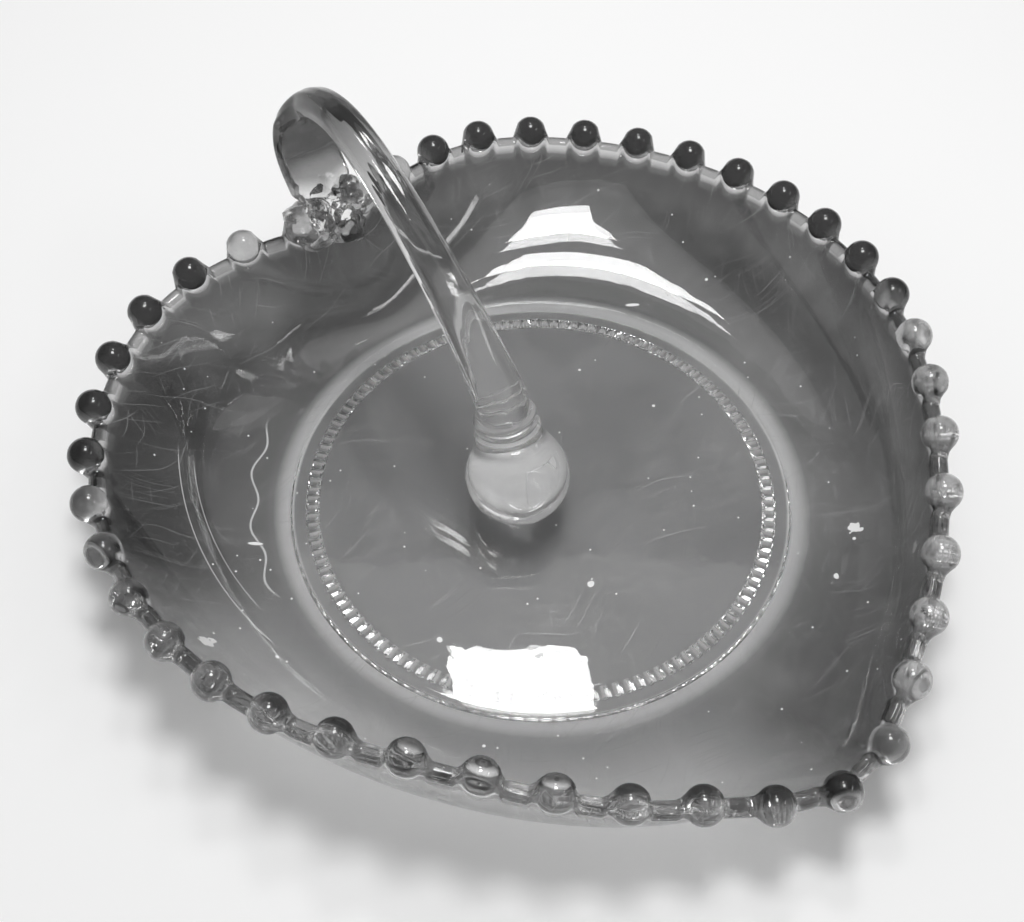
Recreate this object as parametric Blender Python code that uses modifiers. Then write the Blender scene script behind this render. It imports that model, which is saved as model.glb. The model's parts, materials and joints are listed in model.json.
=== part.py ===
"""Heart-shaped pressed glass wafer tray with a beaded rim and a handle that loops in to the floor.

Metres, +Z up. The heart's tip points along -Y. The cleft, where the handle is rooted, lies at +Y.
Plan angles are measured round the foot from the tip, positive towards +X.
"""
import math
from collections import namedtuple

import bmesh
import bpy
import numpy as np
from mathutils import Vector

Station = namedtuple("Station", "angle reach height lean")

# Rim stations round one half of the heart, the other half mirrors them. angle is in degrees from the
# tip, reach runs out from the foot's axis to the beads' centres, height is theirs above the table, and
# lean is the slope of the wall where it ends at the rim, in degrees.
TIP = Station(angle=0.0, reach=0.0782, height=0.0160, lean=48.0)
TURN = Station(angle=20.0, reach=0.0713, height=0.0200, lean=80.0)
FLANK = Station(angle=52.0, reach=0.0668, height=0.0260, lean=89.0)
SIDE = Station(angle=90.0, reach=0.0725, height=0.0227, lean=68.0)
LOBE = Station(angle=133.0, reach=0.0798, height=0.0174, lean=42.0)
SHOULDER = Station(angle=152.0, reach=0.0773, height=0.0198, lean=50.0)
BEND = Station(angle=167.0, reach=0.0677, height=0.0239, lean=70.0)
CLEFT = Station(angle=180.0, reach=0.0613, height=0.0254, lean=78.0)
STATIONS = (TIP, TURN, FLANK, SIDE, LOBE, SHOULDER, BEND, CLEFT)
CLEFT_SHIFT = -0.0025  # the cleft was folded this far to one side
CLEFT_SPREAD = 12  # power by which that shift dies away towards the lobes

# Foot, floor and wall.
FOOT_RADIUS = 0.0450
FOOT_WIDTH = 0.0040
FOOT_HEIGHT = 0.0010
FOOT_SLOPE = 0.0008
FLOOR_THICKNESS = 0.0034
RIM_THICKNESS = 0.0030
EDGE_DROP = 0.0012  # the edge of the wall ends this far below the beads' centres
EDGE_CROWN = 0.0005  # rounding of that edge
WALL_FULLNESS = 0.76  # how far the wall's curve is drawn out towards its corner
WALL_STEPS = 7
WALL_COLUMNS = 90
RIM_SAMPLES = 1441

# Beads.
BEAD_COUNT = 42
BEAD_DIAMETER = 0.0065
BEAD_SEGMENTS = 12
BEAD_RINGS = 7
ROOT_SPAN = 0.0135  # rim length between the two beads beside the handle's root
SEAT_GAP = 0.0003  # clearance between pieces that touch

# Handle, in its own upright plane from the cleft to the ball's place on the floor.
BALL_SIDE = -0.0054  # the ball rests this far beside the foot's axis
BALL_DIAMETER = 0.0186
BALL_FLAT = 0.0012  # depth of the flat where the ball rests
BALL_LEAN = 18.0  # degrees
NECK_LENGTH = 0.0106  # from the ball's centre to the collar
NECK_WAIST = 0.0118
NECK_MEETS_BALL = 38.0  # degrees up the ball
COLLAR_LENGTH = 0.0030
COLLAR_DIAMETER = 0.0112
COLLAR_GROOVE = 0.0005
COLLAR_RING_POINTS = 4
ROD_TOP_DIAMETER = 0.0066
ROD_FOOT_DIAMETER = 0.0096
ROD_FLARE = 1.5  # power of the rod's taper
ROD_SEAT = 0.0015  # straight end of the rod above the collar
ARCH_HEIGHT = 0.0545
ARCH_SETBACK = 0.0090  # the arch's top lies this far in from the cleft
LOOP_HEIGHT = 0.0395
LOOP_OVERHANG = 0.0085  # the loop swings this far out past the cleft
LOOP_WIDTH = 0.0116
LOOP_THICKNESS = 0.0060
ROOT_THICKNESS = 0.0044
ROOT_RISE = 0.0028  # the root stays narrow this far up between its two beads
ROOT_SPREAD = 0.0050  # length in which it then broadens to the loop
ROD_BLEND = 0.0075  # length in which the loop draws in to the round rod
LOOP_PULL = 0.38  # tangent lengths of the handle's line, as shares of each span
ARCH_PULL = 0.30
COLLAR_PULL = 0.08
PATH_STEPS = 10
HANDLE_SIDES = 12
TURNED_STEPS = 18
NECK_STEPS = 4
BALL_STEPS = 11

SMOOTH_ANGLE = 50.0  # degrees, edges sharper than this stay crisp

GLASS_COLOUR = (0.90, 0.92, 0.92, 1.0)
GLASS_ROUGHNESS = 0.03
GLASS_IOR = 1.52

BEAD_RADIUS = BEAD_DIAMETER / 2.0
BALL_RADIUS = BALL_DIAMETER / 2.0
FLOOR_TOP = FOOT_HEIGHT + FLOOR_THICKNESS


def clear_scene():
    """Remove whatever the scene holds."""
    for old in list(bpy.data.objects):
        bpy.data.objects.remove(old, do_unlink=True)


def new_collection(name):
    """A collection linked to the scene."""
    group = bpy.data.collections.new(name)
    bpy.context.scene.collection.children.link(group)
    return group


def glass(name):
    """Clear pressed glass."""
    material = bpy.data.materials.new(name)
    material.use_nodes = True
    shader = material.node_tree.nodes["Principled BSDF"]
    shader.inputs["Base Color"].default_value = GLASS_COLOUR
    shader.inputs["Roughness"].default_value = GLASS_ROUGHNESS
    shader.inputs["Metallic"].default_value = 0.0
    shader.inputs["IOR"].default_value = GLASS_IOR
    shader.inputs["Transmission Weight"].default_value = 1.0
    return material


def add_object(name, data, group, parent, material=None):
    """Link an object with its data, parent and material."""
    item = bpy.data.objects.new(name, data)
    group.objects.link(item)
    item.parent = parent
    if material is not None:
        data.materials.append(material)
    return item


def mark_as_cutter(item):
    """Keep a cutter out of the model."""
    item.hide_render = True
    item.display_type = "WIRE"


def cut(item, cutter):
    """Cut one object by another."""
    modifier = item.modifiers.new("cut", "BOOLEAN")
    modifier.operation = "DIFFERENCE"
    modifier.object = cutter


def finish_mesh(name, builder):
    """Turn a bmesh into a mesh with its faces out, shaded smooth but for its crisp edges."""
    bmesh.ops.recalc_face_normals(builder, faces=builder.faces)
    mesh = bpy.data.meshes.new(name)
    builder.to_mesh(mesh)
    builder.free()
    mesh.shade_smooth()
    mesh.set_sharp_from_angle(angle=math.radians(SMOOTH_ANGLE))
    return mesh


def rim_value(angle, field):
    """A station value at any plan angle, on a smooth line through the stations."""
    turned = abs((math.degrees(angle) + 180.0) % 360.0 - 180.0)
    knots = [station.angle for station in STATIONS]
    values = [getattr(station, field) for station in STATIONS]
    # Mirrored neighbours keep the line level at the tip and at the cleft.
    knots = [-knots[1]] + knots + [2.0 * knots[-1] - knots[-2]]
    values = [values[1]] + values + [values[-2]]
    i = min(int(np.searchsorted(knots, turned, side="right")) - 1, len(knots) - 3)
    span = knots[i + 1] - knots[i]
    t = (turned - knots[i]) / span
    slope_a = span * (values[i + 1] - values[i - 1]) / (knots[i + 1] - knots[i - 1])
    slope_b = span * (values[i + 2] - values[i]) / (knots[i + 2] - knots[i])
    rise = values[i + 1] - values[i]
    return values[i] + t * (slope_a + t * (3.0 * rise - 2.0 * slope_a - slope_b
                                           + t * (slope_a + slope_b - 2.0 * rise)))


def rim_point(angle):
    """Where a bead's centre would lie at a plan angle."""
    reach = rim_value(angle, "reach")
    shift = CLEFT_SHIFT * max(0.0, -math.cos(angle)) ** CLEFT_SPREAD
    return Vector((reach * math.sin(angle) + shift, -reach * math.cos(angle), rim_value(angle, "height")))


def lengths_along(line):
    """How far along a line each of its points lies."""
    steps = np.linalg.norm(np.diff(line, axis=0), axis=1)
    return np.concatenate(([0.0], np.cumsum(steps)))


def rim_angles(lengths_of):
    """Plan angles at the lengths along the rim, from the cleft, that lengths_of picks from the whole."""
    samples = np.linspace(-math.pi, math.pi, RIM_SAMPLES)
    along = lengths_along(np.array([rim_point(angle) for angle in samples]))
    return [float(np.interp(length, along, samples)) for length in lengths_of(along[-1])]


def bead_lengths(whole):
    """Beads sit evenly along the rim, all but the wider space that the handle's root takes."""
    return np.linspace(ROOT_SPAN / 2.0, whole - ROOT_SPAN / 2.0, BEAD_COUNT)


def column_lengths(whole):
    """Sections of the wall are spaced evenly along the rim."""
    return np.linspace(0.0, whole, WALL_COLUMNS, endpoint=False)


def wall_section(angle):
    """Points of the tray's closed section at one plan angle, from the floor over the rim to the foot."""
    out = Vector((math.sin(angle), -math.cos(angle), 0.0))
    start = out * (FOOT_RADIUS + FOOT_SLOPE) + Vector((0.0, 0.0, FLOOR_TOP - FLOOR_THICKNESS / 2.0))
    end = rim_point(angle)
    run = Vector((end.x - start.x, end.y - start.y, 0.0))
    heading = run.normalized()
    drop = (end.z - start.z) / math.tan(math.radians(rim_value(angle, "lean")))
    corner = start + heading * (run.length - drop)
    low = start.lerp(corner, WALL_FULLNESS)
    high = end.lerp(corner, WALL_FULLNESS)
    last = 1.0 - EDGE_DROP / (3.0 * (end - high).length)
    inside = []
    outside = []
    for t in np.linspace(0.0, last, WALL_STEPS):
        s = 1.0 - t
        point = start * s ** 3 + low * 3.0 * t * s * s + high * 3.0 * t * t * s + end * t ** 3
        along = ((low - start) * s * s + (high - low) * 2.0 * t * s + (end - high) * t * t).normalized()
        across = Vector((0.0, 0.0, 1.0)) * along.dot(heading) - heading * along.z
        half = (FLOOR_THICKNESS * (1.0 - t) + RIM_THICKNESS * t) / 2.0
        inside.append(point + across * half)
        outside.append(point - across * half)
    crown = (inside[-1] + outside[-1]) / 2.0 + along * EDGE_CROWN
    foot_inner = FOOT_RADIUS - FOOT_WIDTH
    foot = [out * FOOT_RADIUS, out * foot_inner,
            out * (foot_inner - FOOT_SLOPE) + Vector((0.0, 0.0, FOOT_HEIGHT))]
    return inside + [crown] + outside[::-1] + foot


def tray_mesh():
    """Loft the round foot into the heart-shaped rim, closed at the middle of the floor, above and below."""
    builder = bmesh.new()
    sections = []
    for angle in rim_angles(column_lengths):
        sections.append([builder.verts.new(point) for point in wall_section(angle)])
    top = builder.verts.new((0.0, 0.0, FLOOR_TOP))
    bottom = builder.verts.new((0.0, 0.0, FOOT_HEIGHT))
    for section, following in zip(sections, sections[1:] + sections[:1]):
        builder.faces.new((top, section[0], following[0]))
        builder.faces.new((bottom, following[-1], section[-1]))
        for row in range(len(section) - 1):
            builder.faces.new((section[row], section[row + 1], following[row + 1], following[row]))
    return finish_mesh("tray_body", builder)


def bead_mesh(name, radius):
    """One round bead."""
    builder = bmesh.new()
    bmesh.ops.create_uvsphere(builder, u_segments=BEAD_SEGMENTS, v_segments=BEAD_RINGS, radius=radius)
    return finish_mesh(name, builder)


def bead_sockets_mesh(places):
    """All the seats that the beads need in the rim."""
    builder = bmesh.new()
    for place in places:
        made = bmesh.ops.create_uvsphere(builder, u_segments=BEAD_SEGMENTS, v_segments=BEAD_RINGS,
                                         radius=BEAD_RADIUS + SEAT_GAP)
        bmesh.ops.translate(builder, verts=made["verts"], vec=place)
    return finish_mesh("bead_sockets", builder)


class HandlePlane:
    """The upright plane that the handle lies in: p runs from the cleft to the ball's place, z is up."""

    def __init__(self):
        root = rim_point(math.pi)
        self.origin = Vector((root.x, root.y, 0.0))
        span = Vector((BALL_SIDE, 0.0, 0.0)) - self.origin
        self.length = span.length
        self.heading = span.normalized()
        self.side = self.heading.cross(Vector((0.0, 0.0, 1.0)))

    def place(self, flat):
        """World point of a (p, z) pair."""
        return self.origin + self.heading * flat[0] + Vector((0.0, 0.0, flat[1]))

    def turn(self, flat):
        """World direction of a (p, z) pair."""
        return (self.heading * flat[0] + Vector((0.0, 0.0, flat[1]))).normalized()


def ball_centre(plane):
    """The ball's centre in the handle's plane."""
    return np.array((plane.length, FLOOR_TOP + SEAT_GAP + BALL_RADIUS - BALL_FLAT))


def ball_axis():
    """Direction of the ball, neck and collar in the handle's plane, upwards."""
    lean = math.radians(BALL_LEAN)
    return np.array((-math.sin(lean), math.cos(lean)))


def bezier(a, b, c, d, steps):
    """Points of a cubic curve, both ends included."""
    t = np.linspace(0.0, 1.0, steps + 1)[:, None]
    return a * (1 - t) ** 3 + b * 3 * t * (1 - t) ** 2 + c * 3 * t * t * (1 - t) + d * t ** 3


def handle_line(plane):
    """The handle's centre line in its plane: from the cleft out and up the loop, then over to the collar."""
    lean = math.radians(CLEFT.lean)
    rising = np.array((-math.cos(lean), math.sin(lean)))
    root = np.array((0.0, CLEFT.height)) + rising * (EDGE_CROWN + SEAT_GAP - EDGE_DROP)
    loop = np.array((-LOOP_OVERHANG, LOOP_HEIGHT))
    top = np.array((ARCH_SETBACK, ARCH_HEIGHT))
    foot = ball_centre(plane) + ball_axis() * (NECK_LENGTH + COLLAR_LENGTH + 2.0 * SEAT_GAP)
    up = np.array((0.0, 1.0))
    inward = np.array((1.0, 0.0))
    first = LOOP_PULL * np.linalg.norm(loop - root)
    second = LOOP_PULL * np.linalg.norm(top - loop)
    bent = foot + ball_axis() * ROD_SEAT
    third = np.linalg.norm(bent - top)
    leg = bezier(root, root + rising * first, loop - up * first, loop, PATH_STEPS)
    bow = bezier(loop, loop + up * second, top - inward * second, top, PATH_STEPS)
    rod = bezier(top, top + inward * third * ARCH_PULL, bent + ball_axis() * third * COLLAR_PULL, bent,
                 2 * PATH_STEPS)
    half_bow = PATH_STEPS // 2
    return np.vstack((leg, bow[1:half_bow + 1])), np.vstack((bow[half_bow:], rod[1:], foot))


def root_mesh(plane, line, rod_line, bead_side):
    """Loft the root from a flat foot between two beads into a broad loop and then into the round rod."""
    tangents = np.gradient(line, axis=0)
    tangents[-1] = rod_line[1] - rod_line[0]
    along_line = lengths_along(line)
    foot_width = 2.0 * (bead_side - BEAD_RADIUS - SEAT_GAP)
    turns = (ROOT_RISE, ROOT_RISE + ROOT_SPREAD, along_line[-1] - ROD_BLEND, along_line[-1])
    widths = np.interp(along_line, turns, (foot_width, LOOP_WIDTH, LOOP_WIDTH, ROD_TOP_DIAMETER))
    depths = np.interp(along_line, turns, (ROOT_THICKNESS, LOOP_THICKNESS, LOOP_THICKNESS, ROD_TOP_DIAMETER))
    builder = bmesh.new()
    rings = []
    for point, along, width, depth in zip(line, tangents, widths, depths):
        across = plane.turn((along[1], -along[0]))
        centre = plane.place(point)
        ring = []
        for step in range(HANDLE_SIDES):
            angle = 2.0 * math.pi * step / HANDLE_SIDES
            offset = plane.side * math.cos(angle) * width / 2.0 + across * math.sin(angle) * depth / 2.0
            ring.append(builder.verts.new(centre + offset))
        rings.append(ring)
    for ring, following in zip(rings, rings[1:]):
        for step in range(HANDLE_SIDES):
            after = (step + 1) % HANDLE_SIDES
            builder.faces.new((ring[step], ring[after], following[after], following[step]))
    builder.faces.new(rings[0])
    builder.faces.new(rings[-1])
    return finish_mesh("handle_root", builder)


def rod_curve(plane, line):
    """The handle's round rod, a tube that thickens towards the collar."""
    along = lengths_along(line)
    first = line[0] + (line[1] - line[0]) / along[1] * SEAT_GAP
    points = np.vstack((first, line[1:]))
    curve = bpy.data.curves.new("handle_rod", "CURVE")
    curve.dimensions = "3D"
    curve.bevel_depth = ROD_TOP_DIAMETER / 2.0
    curve.bevel_resolution = 2
    curve.use_fill_caps = True
    spline = curve.splines.new("POLY")
    spline.points.add(len(points) - 1)
    flare = ROD_FOOT_DIAMETER / ROD_TOP_DIAMETER - 1.0
    for knot, point, length in zip(spline.points, points, along):
        knot.co = (*plane.place(point), 1.0)
        knot.radius = 1.0 + flare * (length / along[-1]) ** ROD_FLARE
    spline.use_smooth = True
    return curve


def turned_object(name, profile, group, parent, material):
    """A solid turned from a profile of (radius, height) pairs that runs from the top to the bottom."""
    mesh = bpy.data.meshes.new(name)
    edges = [(i, i + 1) for i in range(len(profile) - 1)]
    mesh.from_pydata([(radius, 0.0, height) for radius, height in profile], edges, [])
    item = add_object(name, mesh, group, parent, material)
    screw = item.modifiers.new("turn", "SCREW")
    screw.steps = TURNED_STEPS
    screw.render_steps = TURNED_STEPS
    screw.use_merge_vertices = True
    screw.merge_threshold = 0.00001
    screw.use_smooth_shade = True
    return item


def collar_profile():
    """Two rings with a groove between them."""
    radius = COLLAR_DIAMETER / 2.0
    inner = radius - COLLAR_GROOVE
    profile = [(0.0, COLLAR_LENGTH)]
    for share in np.linspace(1.0, 0.0, 2 * COLLAR_RING_POINTS + 1):
        bulge = abs(math.sin(2.0 * math.pi * share))
        profile.append((inner + COLLAR_GROOVE * bulge, COLLAR_LENGTH * float(share)))
    return profile + [(0.0, 0.0)]


def ball_profile():
    """The ball with its bell-shaped neck, from the collar down to the pole."""
    waist = NECK_WAIST / 2.0
    meet = math.radians(NECK_MEETS_BALL)
    ball_top = np.array((BALL_RADIUS * math.cos(meet), BALL_RADIUS * math.sin(meet)))
    neck_top = np.array((waist, NECK_LENGTH))
    pull = NECK_LENGTH - ball_top[1]
    leaving = np.array((-math.sin(meet), math.cos(meet))) * pull / 3.0
    neck = bezier(neck_top, neck_top - np.array((0.0, pull / 3.0)), ball_top + leaving, ball_top, NECK_STEPS)
    profile = [(0.0, NECK_LENGTH)] + [(float(r), float(h)) for r, h in neck]
    sweep = np.linspace(meet, -math.pi / 2.0, BALL_STEPS + 1)[1:-1]
    profile += [(BALL_RADIUS * math.cos(angle), BALL_RADIUS * math.sin(angle)) for angle in sweep]
    return profile + [(0.0, -BALL_RADIUS)]


def stand(item, plane, flat, axis):
    """Place a turned piece with its axis along a direction of the handle's plane."""
    item.location = plane.place(flat)
    item.rotation_euler = Vector((0.0, 0.0, 1.0)).rotation_difference(plane.turn(axis)).to_euler()


def floor_cutter(plane, group, parent):
    """A block that takes the ball's underside off flat, just over the floor."""
    size = 2.0 * BALL_DIAMETER
    builder = bmesh.new()
    bmesh.ops.create_cube(builder, size=size)
    item = add_object("floor_cutter", finish_mesh("floor_cutter", builder), group, parent)
    centre = plane.place(ball_centre(plane))
    item.location = (centre.x, centre.y, FLOOR_TOP + SEAT_GAP - size / 2.0)
    mark_as_cutter(item)
    return item


def middle_of_parts(group):
    """The middle of the finished parts' box in plan."""
    bpy.context.view_layer.update()
    depsgraph = bpy.context.evaluated_depsgraph_get()
    corners = []
    for item in group.objects:
        if item.type == "EMPTY":
            continue
        evaluated = item.evaluated_get(depsgraph)
        mesh = evaluated.to_mesh()
        corners += [evaluated.matrix_world @ vertex.co for vertex in mesh.vertices]
        evaluated.to_mesh_clear()
    points = np.array(corners)
    return (points.min(axis=0) + points.max(axis=0)) / 2.0


def main():
    """Build the tray, then stand it with the middle of its box over the origin."""
    clear_scene()
    parts = new_collection("wafer_tray")
    cutters = new_collection("wafer_tray_cutters")
    stand_point = bpy.data.objects.new("stand_point", None)
    parts.objects.link(stand_point)

    clear = glass("clear_glass")

    bead_places = [rim_point(angle) for angle in rim_angles(bead_lengths)]
    body = add_object("tray_body", tray_mesh(), parts, stand_point, clear)
    sockets = add_object("bead_sockets", bead_sockets_mesh(bead_places), cutters, stand_point)
    mark_as_cutter(sockets)
    cut(body, sockets)

    bead = bead_mesh("rim_bead", BEAD_RADIUS)
    bead.materials.append(clear)
    for number, place in enumerate(bead_places, 1):
        item = add_object(f"rim_bead_{number:02d}", bead, parts, stand_point)
        item.location = place

    plane = HandlePlane()
    root_line, rod_line = handle_line(plane)
    beside = (bead_places[0], bead_places[-1])
    bead_side = min(abs((place - plane.origin).dot(plane.side)) for place in beside)
    root = root_mesh(plane, root_line, rod_line, bead_side)
    add_object("handle_root", root, parts, stand_point, clear)
    add_object("handle_rod", rod_curve(plane, rod_line), parts, stand_point, clear)
    collar = turned_object("handle_collar", collar_profile(), parts, stand_point, clear)
    stand(collar, plane, ball_centre(plane) + ball_axis() * (NECK_LENGTH + SEAT_GAP), ball_axis())
    ball = turned_object("handle_ball", ball_profile(), parts, stand_point, clear)
    stand(ball, plane, ball_centre(plane), ball_axis())
    cut(ball, floor_cutter(plane, cutters, stand_point))

    middle = middle_of_parts(parts)
    stand_point.location = (-middle[0], -middle[1], 0.0)
    print("foot axis at", [round(float(-value) * 1000.0, 3) for value in middle[:2]], "mm")


main()
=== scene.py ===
import json
import math

import bmesh
import bpy
import numpy as np
from mathutils import Matrix, Vector


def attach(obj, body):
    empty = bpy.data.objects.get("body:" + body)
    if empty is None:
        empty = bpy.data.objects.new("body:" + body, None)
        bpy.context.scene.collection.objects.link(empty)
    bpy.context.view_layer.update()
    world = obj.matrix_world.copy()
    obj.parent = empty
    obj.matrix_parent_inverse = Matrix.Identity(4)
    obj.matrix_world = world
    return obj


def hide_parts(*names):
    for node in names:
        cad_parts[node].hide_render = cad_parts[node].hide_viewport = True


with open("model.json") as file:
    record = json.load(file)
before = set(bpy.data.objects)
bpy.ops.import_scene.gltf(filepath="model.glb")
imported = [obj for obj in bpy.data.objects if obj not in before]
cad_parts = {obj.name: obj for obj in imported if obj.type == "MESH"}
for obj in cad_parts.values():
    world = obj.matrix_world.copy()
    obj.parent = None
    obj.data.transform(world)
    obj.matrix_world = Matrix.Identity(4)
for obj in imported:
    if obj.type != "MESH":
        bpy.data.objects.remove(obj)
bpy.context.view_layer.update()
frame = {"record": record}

# Rim stations round one half of the heart: plan angle from the tip in degrees, reach from the foot's axis
# to the beads' centres, their height above the table, and the wall's lean at the rim in degrees.
STATIONS = np.array((
    (0.0, 0.0782, 0.0160, 48.0),
    (20.0, 0.0713, 0.0200, 80.0),
    (52.0, 0.0668, 0.0260, 89.0),
    (90.0, 0.0725, 0.0227, 68.0),
    (133.0, 0.0798, 0.0174, 42.0),
    (152.0, 0.0773, 0.0198, 50.0),
    (167.0, 0.0677, 0.0239, 70.0),
    (180.0, 0.0613, 0.0254, 78.0)))
REACH, HEIGHT, LEAN = 1, 2, 3  # columns of the stations
CLEFT_SHIFT = -0.0025  # the cleft was folded this far to one side
CLEFT_SPREAD = 12  # power by which that shift dies away towards the lobes

# Foot, floor, wall and rim, with the sizes of the solids.
FOOT_RADIUS = 0.0450
FOOT_WIDTH = 0.0040
FOOT_HEIGHT = 0.0010
FOOT_SLOPE = 0.0008
FOOT_ROUND = 0.0004  # rounding of the foot's edges
FLOOR_THICKNESS = 0.0034
FLOOR_TOP = FOOT_HEIGHT + FLOOR_THICKNESS
RIM_THICKNESS = 0.0030
WALL_FULLNESS = 0.76  # how far the wall's curve is drawn out towards its corner
WALL_START = 5.0  # degrees, the slope at which the wall leaves the floor
BRIDGE_DROP = 0.0024  # middle of the rounded edge between two beads, below the beads' centres
BRIDGE_EASE = 0.0004  # softness of the bead's meeting with that edge
BRIDGE_STARTS = (0.84, 1.16)  # from where to where a bead passes into the bridge, in shares of its radius
LEAST_EDGE = 1.001  # the rim's rounded edge is at least this many times as thick as the wall
SQUARE_FROM = 0.5  # share of the wall from which its section turns square to the rim
END_SEARCH = (0.6, 1.0, 161)  # shares of the wall's curve at which its end at the rim is looked for
TANGENT_STEP = 1e-4  # radians to both sides, from which the rim's direction is taken

BEAD_COUNT = 42
BEAD_RADIUS = 0.00325
ROOT_SPAN = 0.0135  # rim length between the two beads beside the handle's root
SEAT_GAP = 0.0003  # clearance between the solids
SKIN = 0.0001  # the glass keeps this far inside the solids' box

# Rows and columns of the tray's mesh.
COLUMNS_PER_BEAD = 18
ROOT_COLUMNS = 24
WALL_ROWS = 30
RING_ROWS = 30
FOOT_ARC = 5
FLOOR_ROWS = (0.5, 0.97, 0.99)  # radii of the floor's rows, in shares of the foot's
RIM_SAMPLES = 4001

# Ribs that V grooves leave on the inner part of the foot ring.
RIB_COLUMNS = 6  # columns of the mesh to each rib
RIB_DEPTH = 0.0009
RIB_LENGTH = 0.0017
RIB_FULL = 0.8  # share of its length in which a groove has its full depth
RIB_BRIGHT = 0.9  # share of its length in which a rib has a painted highlight
RIB_FLANK = (0.25, 0.75)  # share of a groove's height over which its painted highlight comes up

# Handle, with the sizes of the solids.
BALL_SIDE = -0.0054  # the ball rests this far beside the foot's axis
BALL_RADIUS = 0.0093
BALL_FLAT = 0.0012  # how much lower the ball is than a round one
BALL_LEAN = 18.0  # degrees
NECK_LENGTH = 0.0106  # from the ball's centre to the collar
NECK_WAIST = 0.0118
NECK_MEETS_BALL = 38.0  # degrees up the ball
COLLAR_LENGTH = 0.0030
COLLAR_DIAMETER = 0.0112
COLLAR_GROOVE = 0.0005
ROD_TOP_DIAMETER = 0.0066
ROD_FOOT_DIAMETER = 0.0096
ROD_FLARE = 1.5  # power of the rod's taper
ROD_SEAT = 0.0015  # straight end of the rod above the collar
ARCH_HEIGHT = 0.0545
ARCH_SETBACK = 0.0090  # the arch's top lies this far in from the cleft
LOOP_HEIGHT = 0.0395
LOOP_OVERHANG = 0.0085  # the loop swings this far out past the cleft
LOOP_WIDTH = 0.0116
LOOP_THICKNESS = 0.0060
ROOT_THICKNESS = 0.0044
ROOT_RISE = 0.0028  # the root stays narrow this far up between its two beads
ROOT_SPREAD = 0.0050  # length in which it then broadens to the loop
ROD_BLEND = 0.0075  # length in which the loop draws in to the round rod
ROOT_DEPTH = 0.0022  # the handle's root runs this far down into the rim
EDGE_LIFT = -0.0004  # where the CAD root starts, from the beads' centres up the wall
LOOP_PULL = 0.38  # tangent lengths of the handle's line, as shares of each span
ARCH_PULL = 0.30
COLLAR_PULL = 0.08
# Rows and columns of the handle's mesh.
PATH_STEPS = 48
HANDLE_SIDES = 64
ROOT_ROWS = 5
COLLAR_ROWS = 25
NECK_STEPS = 14
BALL_ROWS = 40
COLLAR_ROUND = 0.7  # power that makes the two rings of the collar round
SMOOTH_ANGLE = 50.0  # degrees, edges sharper than this stay crisp
GOLDEN_ANGLE = math.pi * (3.0 - math.sqrt(5.0))
# Flutes that drawing the rod out left in it: how many round it, their depth as a share of its radius, and
# their turns along it.
FLUTES = ((2, 0.050, 0.6), (5, 0.030, -0.8), (9, 0.018, 1.3))
# Block of uneven lumps where the root was pressed on to the rim, half sizes along the rim, inwards and up.
BLOCK_SIZE = (0.0062, 0.0022, 0.0048)
BLOCK_RISE = 0.0012
CORE_SHARE = 0.95  # size of the lump in the middle, as a share of the block
LUMP_COUNT = 9
LUMP_SIZE = 0.0030
LUMP_FINENESS = 3
LUMP_UNEVEN = 0.30
# Two waves of a lump's skin: how fast they run along two axes, and how they shift from lump to lump.
LUMP_WAVES = ((3.1, 2.3, 1.0), (2.7, -1.9, 2.0))
LUMP_STRETCH = 0.35  # how far lumps differ in size along the three axes
LUMP_TURNS = (1.7, 2.9, 4.3)  # how that changes from lump to lump
ROOT_CRINKLE = 4.0  # how much deeper the block's crinkles are than the handle's own waves

# Wear. Scratches: direction in degrees, cells to the metre along them, how much thinner than long, and the
# share kept.
SCRATCHES = ((12.0, 60.0, 170.0, 0.030), (43.0, 110.0, 130.0, 0.030), (-24.0, 35.0, 260.0, 0.020),
             (76.0, 140.0, 110.0, 0.020), (158.0, 80.0, 150.0, 0.025))
SCRATCH_SIZE = 0.45  # of a cell
SCRATCH_BEND = 0.020
BEND_SCALE = 25.0  # cells to the metre
SCRATCH_STRENGTH = 0.28
# Marks on the left of the wall: plan angles in degrees and reach from the axis at both ends, waves to a turn,
# how far they sway and half the width. The first is a wavy seam and the others are long scratches.
MARKS = (
    (-144.0, -98.0, 0.0520, 0.0512, 27.0, 0.0008, 0.00030),
    (-133.0, -88.0, 0.0660, 0.0555, 0.0, 0.0, 0.00014),
    (-131.0, -97.0, 0.0630, 0.0545, 0.0, 0.0, 0.00010))
MARK_CORE = 0.3  # share of a mark's width that is full
MARK_ENDS = 0.1  # share of its length in which it fades
MARK_STRENGTH = 0.50
# Flakes that lie in the dish: plan angle, reach and radius.
FLAKES = ((-93.0, 0.066, 0.0017), (43.0, 0.056, 0.0017), (32.0, 0.0545, 0.0009), (-15.0, 0.022, 0.0012),
          (-66.0, 0.036, 0.0008))
FLAKE_WAVES = 700.0  # cells to the metre of their uneven edge
FLAKE_UNEVEN = 2.0  # how far that edge wanders, in radii
FLAKE_EDGE = (1.6, 1.5)  # where it lies, in radii with the wandering added
# Dust: cells to the metre, size in its cell, share of the cells that have any, and how much longer than wide.
DUST = ((520.0, 0.12, 0.14, 1.0), (150.0, 0.06, 0.25, 1.0), (40.0, 0.07, 0.30, 4.0))
SPECK_CORE = 0.6  # share of a speck's size that is full
SPECK_TURN = -35.0  # degrees
KEEP_EDGE = 0.001  # softness of the choice of cells
MARK_MILK = 0.75  # how far marks take away the glass's clearness
MARK_ROUGHNESS = 0.4
# Smears: cells to the metre, fineness, the range of the noise in which they come up, and their strength.
SMEAR_SCALE = 38.0
SMEAR_DETAIL = 8.0
SMEAR_RANGE = (0.42, 0.75)
SMEAR_STRENGTH = 0.055
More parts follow.
